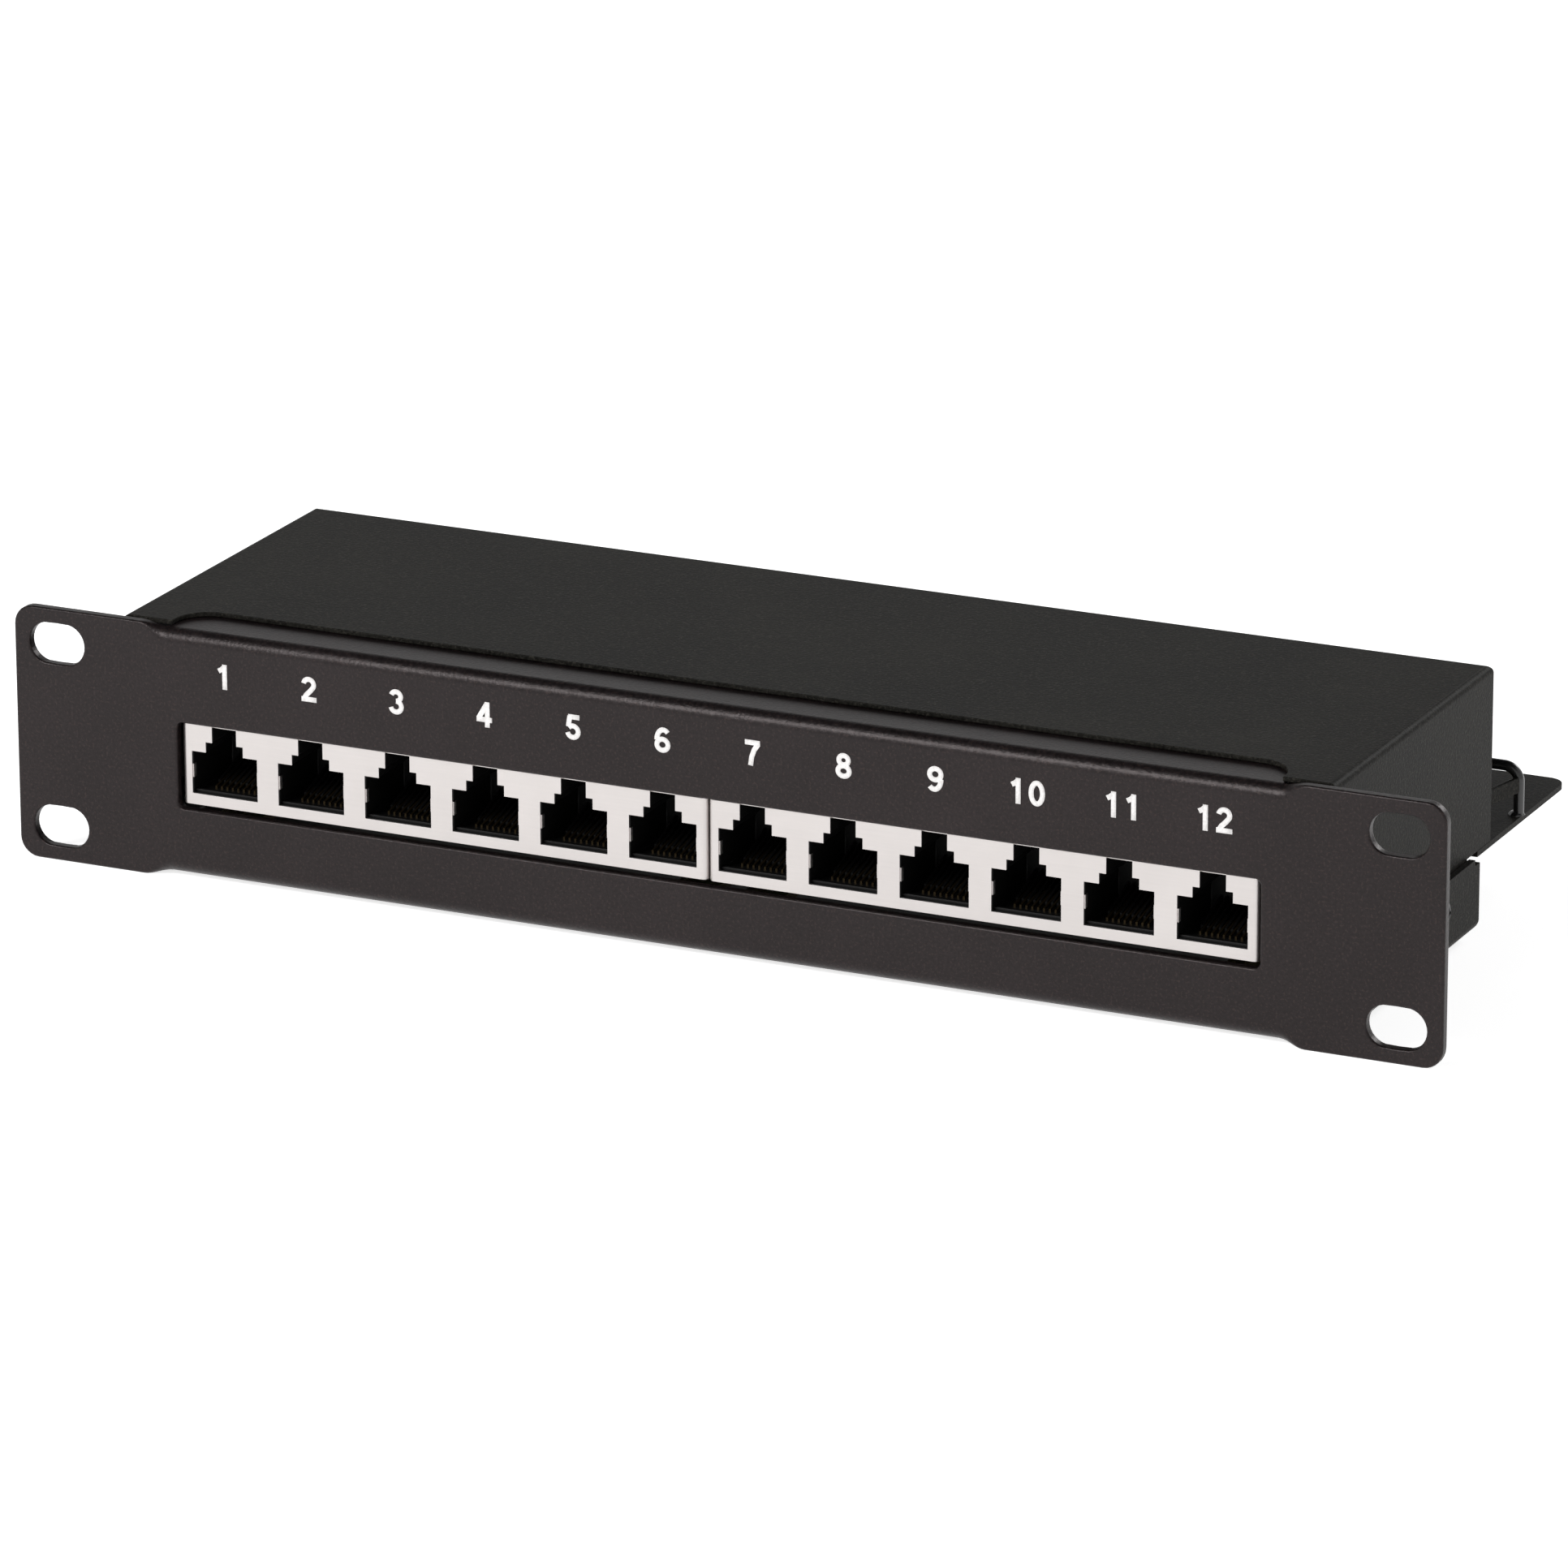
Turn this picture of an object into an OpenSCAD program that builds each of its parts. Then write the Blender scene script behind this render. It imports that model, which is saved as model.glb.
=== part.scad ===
// Ten-inch, one-unit rack panel with twelve shielded eight-way sockets.
// Behind the front panel: two six-way socket banks, their circuit boards and the
// punch-down blocks, under a lift-off cover, with a cable tray and lacing bar behind.
// Origin: centre of the front face. X to the right, Y to the back, Z up.

/* [Front panel] */
// Width over the ears
panel_w = 254; // [253:0.5:256]
// Height of the ears
panel_h = 43.8; // [43.4:0.1:44.4]
// Sheet thickness of the front panel
panel_t = 2; // [1.8:0.1:2.2]
// Corner radius of the ears
ear_r = 3.4; // [2:0.2:5]
// Half width of the stretch that is bent back at top and bottom
bent_half_w = 99; // [98:0.5:100]
// How far the bent stretch stays below the edge of the ears
bent_drop = 0.7; // [0.5:0.1:1]
// Outer radius of the panel's bends
bend_r = 2.4; // [2.3:0.1:3]
// Depth of the top flange
top_flange_y = 16; // [13:1:17]
// Depth of the bottom flange
bottom_flange_y = 8; // [6:1:9]

/* [Rack slots] */
// Distance between the slots' centres, side to side
slot_dx = 238.2; // [236.5:0.1:239]
// Distance between the slots' centres, bottom to top
slot_dz = 31.75; // [31.7:0.05:31.8]
// Slot length, end to end
slot_l = 10.2; // [9:0.2:11]
// Slot width
slot_w = 7; // [6.4:0.2:7.2]

/* [Socket row] */
// Distance from one socket to the next
socket_pitch = 16; // [15.9:0.05:16.05]
// Middle of the socket row, left or right of the panel's middle
row_x = -0.45; // [-0.6:0.05:0.6]
// Width of the window in the panel
window_w = 192.9; // [192.9:0.1:193.5]
// Lower edge of the window
window_z0 = -9.6; // [-9.8:0.1:-9.4]
// Upper edge of the window
window_z1 = 5.3; // [5.3:0.1:5.6]
// How far the shields' faces lie behind the panel's face
shield_y = 0.8; // [0.4:0.1:1.2]
// Depth of a socket bank, from shield face to board
bank_depth = 20.8; // [20:0.2:22]
// Sheet thickness of the shields
shield_t = 0.3; // [0.25:0.05:0.35]
// Lower edge of the shields
shield_z0 = -8.7; // [-8.9:0.1:-8.6]
// Upper edge of the shields
shield_z1 = 5.1; // [5:0.05:5.2]

/* [Socket opening] */
// Width of the plug opening
plug_w = 12.1; // [11.8:0.1:12.3]
// Lower edge of the plug opening
plug_z0 = -6.8; // [-6.9:0.1:-6.6]
// Upper edge of the plug opening
plug_z1 = 0.5; // [0.3:0.1:0.7]
// Width of the step above it
step_w = 6.9; // [6.6:0.1:7.1]
// Upper edge of the step
step_z1 = 2.3; // [2.1:0.1:2.5]
// Width of the latch slot
latch_w = 4.5; // [4.2:0.1:4.7]
// Depth of the socket's hollow
socket_depth = 13.4; // [13:0.2:14]

/* [Housing] */
// Half width of the cover
cover_half_w = 107.65; // [107:0.05:108]
// Sheet thickness of the cover
cover_t = 0.8; // [0.7:0.1:0.8]
// Outer radius of the cover's bends
cover_r = 1.3; // [1.1:0.1:1.6]
// Rear end of the cover
cover_y = 70; // [69:0.5:71]
// Level of the cover's lower edge and of the tray's top
deck_z = -8; // [-8.2:0.1:-7.8]
// Height of the lip across the cover's rear
lip_h = 5; // [4:0.5:6]
// Rear end of the lower shell
base_y = 62.2; // [61:0.1:63]
// Sheet thickness of the lower shell
base_t = 1.1; // [1:0.1:1.2]
// Underside of the lower shell
base_z0 = -20.65; // [-20.8:0.05:-20.5]
// Rear end of the cable tray
tray_y = 105; // [104:0.5:108]
// Sheet thickness of the cable tray
tray_t = 1; // [0.9:0.1:1.1]

/* [Lacing bar] */
// Rod diameter
rod_d = 1.8; // [1.6:0.1:2]
// Distance of the bar from the front face
rod_y = 84.5; // [83:0.5:90]
// Height of the bar's axis
rod_z = 0.2; // [-0.5:0.1:2]
// Radius of its bends, at the axis
rod_r = 2.6; // [2.4:0.1:3]

/* [Boards and blocks] */
// Thickness of the circuit boards
board_t = 1.6; // [1.5:0.1:1.6]
// Lower edge of the boards
board_z0 = -16.5; // [-17:0.5:-16]
// Upper edge of the boards
board_z1 = 14.5; // [14:0.5:15]
// Height of a punch-down block
block_h = 19; // [18:0.5:19]
// Depth of a punch-down block
block_d = 14; // [13:0.5:15]
// Distance between two wire slots in a row
wire_pitch = 3.85; // [3.8:0.05:3.9]
// Width of a wire slot
wire_slot_w = 1; // [0.8:0.1:1.1]

/* [Hidden] */
$fn = 48;

sockets = 12;
bank_sockets = sockets / 2;
bank_w = bank_sockets * socket_pitch;
wires = 8;
eps = 0.01;
cut = 1;                                        // how far a cutter runs past a face
clear = 0.1;                                    // gap between sheets that face each other

bent_z = panel_h / 2 - bent_drop;               // outer face of the panel's flanges
web_half_h = bent_z - bend_r;
window_r = 1.2;
window_x = row_x - 0.05;                         // the window sits a little left of the row
board_y = shield_y + bank_depth;                // front face of the boards
block_y = board_y + board_t;                    // front face of the punch-down blocks
bank_gap = 0.2;                                 // between the two banks

cover_top = bent_z + 0.05 + cover_t;            // the cover lies on the panel's top flange
cover_front = panel_t + 0.3;
recess_half_w = bent_half_w - 0.5;              // stretch of the cover's front edge that is set back
recess_y = 9.3;
recess_r = 6;
skirt_z = -16.5;                                // the cover's sides reach down into the lower shell
skirt_y0 = 6;
skirt_y1 = 59.5;

base_half_w = cover_half_w + clear + base_t;
base_z1 = deck_z - 0.1;
base_bend_r = 1.8;
flange_gap = 0.5;
tab_x = bent_half_w + 0.8;
tab_drop = 0.5;
screw_y = [18, 44];                             // where the cover screws sit along the side
screw_z = -12;
screw_d = 3;
hole_play = 0.4;
skirt_slot_w = screw_d + 1;
screw_head = [5.6, 1.9];                        // diameter and height
screw_l = 4;
board_screw_head = [5.2, 1.8];
board_screw_l = 6;
head_dome = 0.62;                               // radius of a head's dome, as a share of its diameter
recess_l = 0.6;                                 // length and width of the cross recess, as shares of it
recess_w = 0.1;
recess_floor = 0.45;                            // floor of the recess, as a share of the head's height

tray_y0 = base_y + clear;
tray_r = 3;
tray_flange_half_w = 104;
tray_flange_z = -18;
tray_screw_x = [-90, -30, 30, 90];
tray_screw_z = -14.5;

leg_x = cover_half_w - rod_d / 2 + 0.15;        // axis of the bar's legs
bracket_t = 1;
bracket_foot = [8.5, 8, bracket_t];
bracket_x = 105;
bracket_y0 = 65;
arm_z0 = -3.9;
arm_z1 = -1.3;
rivet_d = 3;
rivet_h = 1;
rivet_dome = 0.9;                               // radius of a rivet's dome, as a share of its diameter
rivet_dx = 0.5;                                 // off the foot's middle, away from the web
rivet_y = [2.2, 5.8];                           // along the foot
arm_web = 2;                                    // how far along the web the arm starts

socket_w = socket_pitch - 1;
socket_play = 0.05;                             // between a socket and its shield
socket_roof = 0.4;                              // plastic left over the latch's hollow
latch_depth = 6;                                // how far back that plastic is open
grip = [0.2, 4, 2.3];
grip_z0 = -4.1;
contact_pitch = 1.02;
contact_t = 0.35;
contact_tip = [4.4, -6.3];                      // in Y and Z
contact_hook = 0.8;
contact_knee = [12.2, -4.9];
contact_end_y = board_y + board_t / 2;

standoff_z = [-13.5, 11.5];
standoff_inset = 6;
standoff_af = 5;
standoff_bore = 8;

board_w = bank_w - 0.8;
board_r = 1;
block_pitch = 2 * socket_pitch;
block_w = block_pitch - 0.6;
block_z = (standoff_z[0] + standoff_z[1]) / 2;
row_dz = 5.4;                                   // the two wire rows stand this far from the middle
tower_h = 7.4;
tower_y = 7;                                    // depth of the wire slots
side_blocks = bank_sockets / 2;
blade_t = 0.5;
blade_h = 4;
blade_drop = 1.5;                               // the blades end this far inside the towers
blade_gap = 0.3;                                // the gap that grips the wire
blade_root = 0.5;

ground_x = -96;
ground_gy = 96;
stud_d = 4;
stud_h = 12;
collar_h = 2.4;
collar_af = 7;

// x of a socket's middle; n counts from 0
function socket_x(n) = row_x + (n - (sockets - 1) / 2) * socket_pitch;
// x of a punch-down block's middle; n counts from 0
function block_x(n) = row_x + (n - (sockets / 2 - 1) / 2) * block_pitch;
function bank_x(side) = row_x + side * bank_w / 2;

// a flat shape in X and Z, given its thickness backwards from y0
module sheet_y(y0, t) {
  translate([0, y0 + t, 0]) rotate([90, 0, 0]) linear_extrude(t) children();
}

// a flat shape in Y and Z, given its width to the right from x0
module sheet_x(x0, w) {
  translate([x0, 0, 0]) rotate([90, 0, 90]) linear_extrude(w) children();
}

module rounded_rect(w, h, r) {
  square([w - 2 * r, h], center = true);
  square([w, h - 2 * r], center = true);
  for (x = [-1, 1], y = [-1, 1])
    translate([x * (w / 2 - r), y * (h / 2 - r)]) circle(r);
}

module obround(w, h) {
  square([w - h, h], center = true);
  for (x = [-1, 1]) translate([x * (w - h) / 2, 0]) circle(h / 2);
}

// a quarter ring in the first quadrant
module quarter_ring(r_out, r_in) {
  intersection() {
    difference() {
      circle(r_out);
      circle(r_in);
    }
    square(r_out + cut);
  }
}

// what a rounding of radius r takes off a corner that sits at the origin, with the shape up and to the right of it
module corner_waste(r) {
  difference() {
    translate([-cut, -cut]) square(r + cut);
    translate([r, r]) circle(r);
  }
}

// a rectangle from [x0, y0] to [x1, y1]; an entry of corners, such as [1, -1], rounds the corner on those two sides
module cornered(x0, y0, x1, y1, r, corners) {
  difference() {
    translate([x0, y0]) square([x1 - x0, y1 - y0]);
    for (c = corners)
      translate([c[0] > 0 ? x1 : x0, c[1] > 0 ? y1 : y0])
        rotate(c[1] < 0 ? (c[0] < 0 ? 0 : 90) : (c[0] < 0 ? 270 : 180)) corner_waste(r);
  }
}

// ---- front panel ----

module flange_profile(depth) {
  translate([bend_r, web_half_h]) mirror([1, 0]) quarter_ring(bend_r, bend_r - panel_t);
  translate([bend_r, bent_z - panel_t]) square([depth - bend_r, panel_t]);
}

module rack_slots() {
  for (x = [-1, 1], z = [-1, 1])
    translate([x * slot_dx / 2, z * slot_dz / 2]) obround(slot_l, slot_w);
}

module front_panel() {
  color([0.2, 0.19, 0.19]) {
    sheet_y(0, panel_t) difference() {
      rounded_rect(panel_w, panel_h, ear_r);
      for (z = [-1, 1])
        translate([0, z * (web_half_h + panel_h / 2)]) square([2 * bent_half_w, panel_h], center = true);
      translate([window_x, (window_z0 + window_z1) / 2])
        rounded_rect(window_w, window_z1 - window_z0, window_r);
      rack_slots();
    }
    sheet_x(-bent_half_w, 2 * bent_half_w) {
      flange_profile(top_flange_y);
      mirror([0, 1]) flange_profile(bottom_flange_y);
    }
  }
}

// ---- housing ----

module shell_block(half_w, y0, y1, z0, z1, r, rear_r) {
  intersection() {
    sheet_y(y0, y1 - y0) cornered(-half_w, z0, half_w, z1, r, [[-1, -1], [1, -1]]);
    sheet_x(-half_w, 2 * half_w) cornered(y0, z0, y1, z1, rear_r, [[1, -1]]);
  }
}

module lower_shell() {
  color([0.19, 0.2, 0.19]) {
    difference() {
      shell_block(base_half_w, panel_t, base_y, base_z0, base_z1, base_bend_r, base_bend_r);
      shell_block(base_half_w - base_t, panel_t - cut, base_y - base_t, base_z0 + base_t, base_z1 + cut,
        base_bend_r - base_t, base_bend_r - base_t);
      // room for the panel's bottom flange
      translate([-bent_half_w - flange_gap, panel_t - cut, base_z0 - cut])
        cube([2 * (bent_half_w + flange_gap), bottom_flange_y + flange_gap - panel_t + cut, base_t + 2 * cut]);
      // the rear wall ends under the tray
      translate([-base_half_w - cut, base_y - base_t - cut, deck_z - tray_t - clear])
        cube([2 * (base_half_w + cut), base_t + 2 * cut, tray_t + cut]);
      for (y = screw_y)
        translate([-base_half_w - cut, y, screw_z]) rotate([0, 90, 0])
          cylinder(d = screw_d + clear, h = 2 * base_half_w + 2 * cut);
      for (x = tray_screw_x)
        translate([x, base_y + cut, tray_screw_z]) rotate([90, 0, 0])
          cylinder(d = screw_d + clear, h = base_t + 2 * cut);
    }
    // tabs that meet the ears' backs
    for (m = [0, 1]) mirror([m, 0, 0])
      translate([tab_x, panel_t, base_z0 + base_bend_r])
        cube([base_half_w - base_t / 2 - tab_x, base_t, base_z1 - base_z0 - base_bend_r - tab_drop]);
  }
}

module cable_tray() {
  color([0.22, 0.21, 0.21]) difference() {
    union() {
      translate([0, 0, deck_z - tray_t]) linear_extrude(tray_t) difference() {
        translate([-cover_half_w, tray_y0 + base_bend_r]) square([2 * cover_half_w, tray_y - tray_y0 - base_bend_r]);
        for (x = [-1, 1])
          translate([x * cover_half_w, tray_y]) rotate(x > 0 ? 180 : 270) corner_waste(tray_r);
      }
      sheet_x(-tray_flange_half_w, 2 * tray_flange_half_w) {
        translate([tray_y0 + base_bend_r, deck_z - base_bend_r]) mirror([1, 0])
          quarter_ring(base_bend_r, base_bend_r - tray_t);
        translate([tray_y0, tray_flange_z]) square([tray_t, deck_z - base_bend_r - tray_flange_z]);
      }
    }
    for (x = tray_screw_x)
      translate([x, tray_y0 + tray_t + cut, tray_screw_z]) rotate([90, 0, 0])
        cylinder(d = screw_d + hole_play, h = tray_t + 2 * cut);
  }
}

module side_profile() {
  difference() {
    cornered(cover_front, skirt_z, cover_y, cover_top, cover_r, [[1, 1]]);
    translate([cover_front - cut, skirt_z - cut]) square([skirt_y0 - cover_front + cut, deck_z - skirt_z + cut]);
    translate([skirt_y1, skirt_z - cut]) square([cover_y - skirt_y1 + cut, deck_z - skirt_z + cut]);
  }
}

module cover_profile(half_w, top, r) {
  cornered(-half_w, skirt_z - cut, half_w, top, r, [[-1, 1], [1, 1]]);
}

module top_cover() {
  color([0.24, 0.24, 0.23]) difference() {
    intersection() {
      sheet_y(cover_front, cover_y - cover_front) cover_profile(cover_half_w, cover_top, cover_r);
      sheet_x(-cover_half_w, 2 * cover_half_w) side_profile();
    }
    // hollow, open at the front and below
    intersection() {
      sheet_y(cover_front - cut, cover_y - cover_t - cover_front + cut)
        cover_profile(cover_half_w - cover_t, cover_top - cover_t, cover_r - cover_t);
      sheet_x(-cover_half_w, 2 * cover_half_w)
        cornered(cover_front - 2 * cut, skirt_z - 2 * cut, cover_y - cover_t, cover_top - cover_t,
          cover_r - cover_t, [[1, 1]]);
    }
    // rear mouth under the lip
    translate([-cover_half_w + cover_t, cover_y - cover_t - cut, skirt_z - cut])
      cube([2 * (cover_half_w - cover_t), cover_t + 2 * cut, cover_top - lip_h - skirt_z + cut]);
    // the front edge is set back between the ears
    translate([0, 0, cover_top - cover_t - cut]) linear_extrude(cover_t + 2 * cut) {
      translate([-recess_half_w + recess_r, 0]) square([2 * (recess_half_w - recess_r), recess_y]);
      translate([-recess_half_w, 0]) square([2 * recess_half_w, recess_y - recess_r]);
      for (x = [-1, 1]) translate([x * (recess_half_w - recess_r), recess_y - recess_r]) circle(recess_r);
    }
    // open-ended slots that drop over the cover screws
    for (y = screw_y) {
      translate([-cover_half_w - cut, y, screw_z]) rotate([0, 90, 0])
        cylinder(d = skirt_slot_w, h = 2 * cover_half_w + 2 * cut);
      translate([-cover_half_w - cut, y - skirt_slot_w / 2, skirt_z - cut])
        cube([2 * cover_half_w + 2 * cut, skirt_slot_w, screw_z - skirt_z + cut]);
    }
  }
}

// ---- fasteners ----

// a pan-head screw: head above z 0, shank below
module pan_screw(head, length) {
  difference() {
    union() {
      rotate_extrude() intersection() {
        translate([0, head[1] - head[0] * head_dome]) circle(head[0] * head_dome);
        square([head[0] / 2, head[1]]);
      }
      translate([0, 0, -length]) cylinder(d = screw_d, h = length + eps);
    }
    for (a = [0, 90]) rotate(a) translate([-head[0] * recess_l / 2, -head[0] * recess_w / 2, head[1] * recess_floor])
      cube([head[0] * recess_l, head[0] * recess_w, head[1]]);
  }
}

module cover_screws() {
  color([0.2, 0.2, 0.2]) for (x = [-1, 1], y = screw_y)
    translate([x * base_half_w, y, screw_z]) rotate([0, x * 90, 0]) pan_screw(screw_head, screw_l);
}

module tray_screws() {
  color([0.2, 0.2, 0.2]) for (x = tray_screw_x)
    translate([x, tray_y0 + tray_t, tray_screw_z]) rotate([-90, 0, 0]) pan_screw(screw_head, screw_l);
}

module board_screws() {
  color([0.75, 0.74, 0.7]) for (side = [-1, 1], x = [-1, 1], z = standoff_z)
    translate([bank_x(side) + x * (bank_w / 2 - standoff_inset), block_y, z])
      rotate([-90, 0, 0]) pan_screw(board_screw_head, board_screw_l);
}

module bracket_rivets() {
  color([0.7, 0.7, 0.7]) for (x = [-1, 1], y = rivet_y)
    translate([x * (bracket_x - bracket_foot[0] / 2 - rivet_dx), bracket_y0 + y, deck_z + bracket_t])
      rotate_extrude() intersection() {
        translate([0, rivet_h - rivet_d * rivet_dome]) circle(rivet_d * rivet_dome);
        square([rivet_d / 2, rivet_h]);
      }
}

module board_standoffs() {
  color([0.8, 0.78, 0.7]) for (side = [-1, 1], x = [-1, 1], z = standoff_z)
    translate([bank_x(side) + x * (bank_w / 2 - standoff_inset), panel_t, z]) rotate([-90, 0, 0])
      difference() {
        cylinder(d = standoff_af / cos(30), h = board_y - panel_t, $fn = 6);
        translate([0, 0, board_y - panel_t - standoff_bore]) cylinder(d = screw_d + clear, h = standoff_bore + cut);
      }
}

// ---- cable support ----

module lacing_bar() {
  color([0.06, 0.06, 0.06]) {
    translate([-leg_x + rod_r, rod_y, rod_z]) rotate([0, 90, 0]) cylinder(d = rod_d, h = 2 * (leg_x - rod_r));
    for (x = [-1, 1]) {
      translate([x * leg_x, rod_y, deck_z]) cylinder(d = rod_d, h = rod_z - rod_r - deck_z);
      translate([x * (leg_x - rod_r), rod_y, rod_z - rod_r]) rotate([90, 0, 0])
        rotate(x > 0 ? 0 : 90) rotate_extrude(angle = 90) translate([rod_r, 0]) circle(rod_d / 2);
    }
  }
}

// right-hand bracket: a foot on the tray, a web and an arm that reaches out to the bar's leg
module bar_bracket() {
  arm_y = rod_y - rod_d / 2 - clear;
  translate([bracket_x - bracket_foot[0], bracket_y0, deck_z]) cube(bracket_foot);
  translate([bracket_x - bracket_t, bracket_y0, deck_z]) cube([bracket_t, bracket_foot[1], arm_z1 - deck_z]);
  translate([0, 0, arm_z0]) linear_extrude(arm_z1 - arm_z0) polygon([
    [bracket_x - bracket_t, bracket_y0 + arm_web], [bracket_x, bracket_y0 + arm_web],
    [bracket_x, bracket_y0 + bracket_foot[1]], [leg_x + bracket_t / 2, arm_y],
    [leg_x - bracket_t / 2, arm_y], [bracket_x - bracket_t, bracket_y0 + bracket_foot[1]]]);
}

module bar_brackets() {
  color([0.24, 0.25, 0.24]) {
    bar_bracket();
    mirror([1, 0, 0]) bar_bracket();
  }
}

// ---- sockets ----

// outline of a socket's opening; the latch slot runs up to z_top
module socket_opening(z_top) {
  translate([-plug_w / 2, plug_z0]) square([plug_w, plug_z1 - plug_z0]);
  translate([-step_w / 2, plug_z0]) square([step_w, step_z1 - plug_z0]);
  translate([-latch_w / 2, plug_z0]) square([latch_w, z_top - plug_z0]);
}

module socket_body(n) {
  z0 = shield_z0 + shield_t + socket_play;
  z1 = shield_z1 - shield_t - socket_play;
  y0 = shield_y + shield_t;
  y1 = board_y - clear;
  color([0.05, 0.05, 0.05]) translate([socket_x(n), 0, 0]) difference() {
    translate([-socket_w / 2, y0, z0]) cube([socket_w, y1 - y0, z1 - z0]);
    sheet_y(y0 - cut, socket_depth + cut) socket_opening(z1 - socket_roof);
    sheet_y(y0 - cut, latch_depth + cut) translate([-latch_w / 2, plug_z0]) square([latch_w, z1 - plug_z0 + cut]);
  }
}

module shield(side) {
  w = bank_w - bank_gap;
  first = side < 0 ? 0 : bank_sockets;
  color([0.86, 0.86, 0.84]) {
    difference() {
      translate([bank_x(side) - w / 2, shield_y, shield_z0]) cube([w, bank_depth - clear, shield_z1 - shield_z0]);
      translate([bank_x(side) - w / 2 + shield_t, shield_y + shield_t, shield_z0 + shield_t])
        cube([w - 2 * shield_t, bank_depth + cut, shield_z1 - shield_z0 - 2 * shield_t]);
      for (n = [first : first + bank_sockets - 1]) translate([socket_x(n), 0, 0])
        sheet_y(shield_y - cut, shield_t + cut + clear / 2) socket_opening(shield_z1 - shield_t);
    }
    // spring tabs that grip the plug's shell
    for (n = [first : first + bank_sockets - 1], x = [-1, 1])
      translate([socket_x(n) + x * (plug_w / 2 - grip[0] / 2) - grip[0] / 2, shield_y, grip_z0]) cube(grip);
  }
}

module contacts(side) {
  first = side < 0 ? 0 : bank_sockets;
  color([0.8, 0.65, 0.3]) for (n = [first : first + bank_sockets - 1], i = [0 : wires - 1])
    sheet_x(socket_x(n) + (i - (wires - 1) / 2) * contact_pitch - contact_t / 2, contact_t) polygon([
      contact_tip, [contact_tip[0], contact_tip[1] - contact_hook],
      [contact_tip[0] + contact_t, contact_tip[1] - contact_hook],
      [contact_tip[0] + contact_t, contact_tip[1] - contact_t],
      [contact_knee[0], contact_knee[1] - contact_t], [contact_end_y, contact_knee[1] - contact_t],
      [contact_end_y, contact_knee[1]], contact_knee]);
}

// ---- boards and punch-down blocks ----

module board(side) {
  color([0.05, 0.25, 0.12]) sheet_y(board_y, board_t) difference() {
    translate([bank_x(side), (board_z0 + board_z1) / 2]) rounded_rect(board_w, board_z1 - board_z0, board_r);
    for (x = [-1, 1], z = standoff_z)
      translate([bank_x(side) + x * (bank_w / 2 - standoff_inset), z]) circle((screw_d + hole_play) / 2);
  }
}

// a block holds two rows of eight wire slots, cut into two towers
module punch_block(n) {
  foot_d = block_d - tower_y;
  color([0.9, 0.89, 0.85]) translate([block_x(n), block_y, block_z]) difference() {
    union() {
      translate([-block_w / 2, 0, -block_h / 2]) cube([block_w, foot_d, block_h]);
      for (z = [-1, 1]) translate([-block_w / 2, foot_d - eps, z * row_dz - tower_h / 2])
        cube([block_w, tower_y + eps, tower_h]);
    }
    for (z = [-1, 1], i = [0 : wires - 1])
      translate([(i - (wires - 1) / 2) * wire_pitch - wire_slot_w / 2, foot_d, z * row_dz - tower_h / 2 - cut])
        cube([wire_slot_w, tower_y + cut, tower_h + 2 * cut]);
  }
}

module punch_blades(side) {
  first = side < 0 ? 0 : side_blocks;
  tail_y = contact_end_y + clear;
  color([0.85, 0.84, 0.8])
    for (n = [first : first + side_blocks - 1], z = [-1, 1], i = [0 : wires - 1])
      translate([block_x(n) + (i - (wires - 1) / 2) * wire_pitch, 0, block_z + z * row_dz]) difference() {
        translate([-blade_t / 2, tail_y, -blade_h / 2])
          cube([blade_t, block_y + block_d - blade_drop - tail_y, blade_h]);
        translate([-blade_t, block_y + block_d - tower_y + blade_root, -blade_gap / 2])
          cube([2 * blade_t, tower_y, blade_gap]);
      }
}

// ---- earth terminal ----

module ground_stud() {
  color([0.75, 0.75, 0.72]) translate([ground_x, ground_gy, deck_z]) {
    cylinder(d = collar_af / cos(30), h = collar_h, $fn = 6);
    cylinder(d = stud_d, h = stud_h);
  }
}

front_panel();
lower_shell();
cable_tray();
lacing_bar();
bar_brackets();
bracket_rivets();
tray_screws();
board_standoffs();
board_screws();
board(-1);  // board_left
board(1);  // board_right
shield(-1);  // shield_left
shield(1);  // shield_right
for (n = [0 : sockets - 1])
  socket_body(n);
contacts(-1);  // contacts_left
contacts(1);  // contacts_right
for (n = [0 : sockets / 2 - 1])
  punch_block(n);
punch_blades(-1);  // punch_blades_left
punch_blades(1);  // punch_blades_right
ground_stud();
cover_screws();
top_cover();
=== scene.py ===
import math

import bmesh
import bpy
from mathutils import Matrix, Vector


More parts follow.
